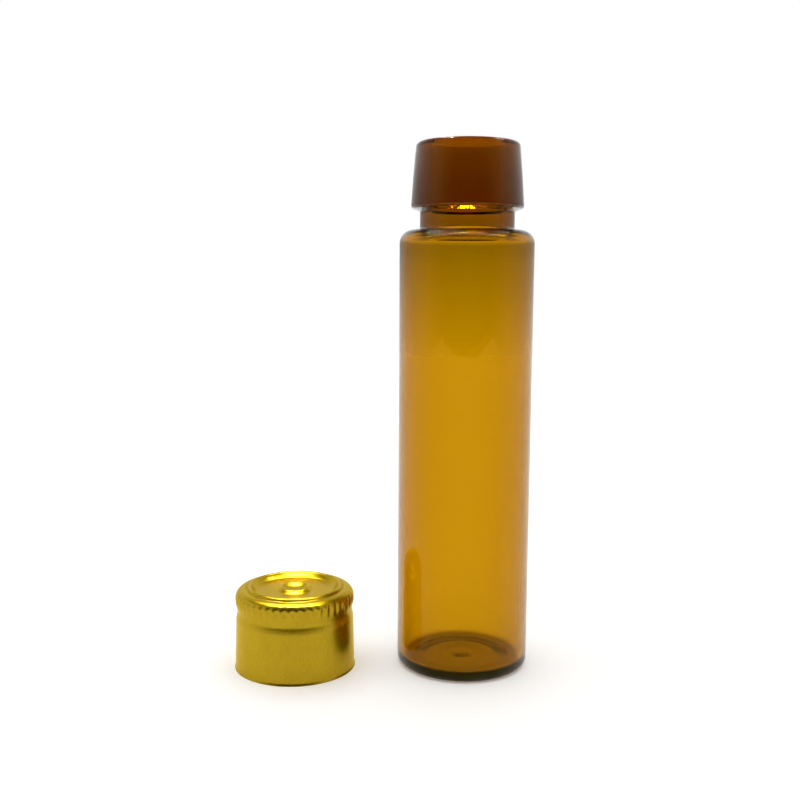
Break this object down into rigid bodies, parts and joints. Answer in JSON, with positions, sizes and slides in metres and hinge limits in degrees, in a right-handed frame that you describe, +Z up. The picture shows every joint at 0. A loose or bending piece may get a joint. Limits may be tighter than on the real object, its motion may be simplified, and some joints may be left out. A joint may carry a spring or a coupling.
{
  "type": "sample vial",
  "caption": "Slim amber glass sample vial with a plain rounded collar, and its gold-lacquered aluminium push-on cap with a foam liner standing beside it.",
  "frame": {"origin": "on the table under the middle of the pair's footprint, vial to the right and cap to the left", "axes": "+Z up along the vial, +X from the cap towards the vial"},
  "size_m": [0.045, 0.0212, 0.0788],
  "materials": {
    "amber_glass": "clear amber glass, polished by its forming flame",
    "gold_lacquered_aluminium": "satin drawn sheet under clear gold lacquer",
    "white_foam": "fine closed-cell foam",
    "white_film": "thin barrier film, soft gloss"
  },
  "bodies": {
    "vial": {"glass_vial": "amber_glass"},
    "cap": {"cap_shell": "gold_lacquered_aluminium", "liner_wad": "white_foam", "liner_facing": "white_film"}
  },
  "joints": [
    {"name": "cap_lift", "type": "slide", "parent": "vial", "child": "cap", "axis": [0, 0, 1], "range_m": [0, 0.1]}
  ]
}
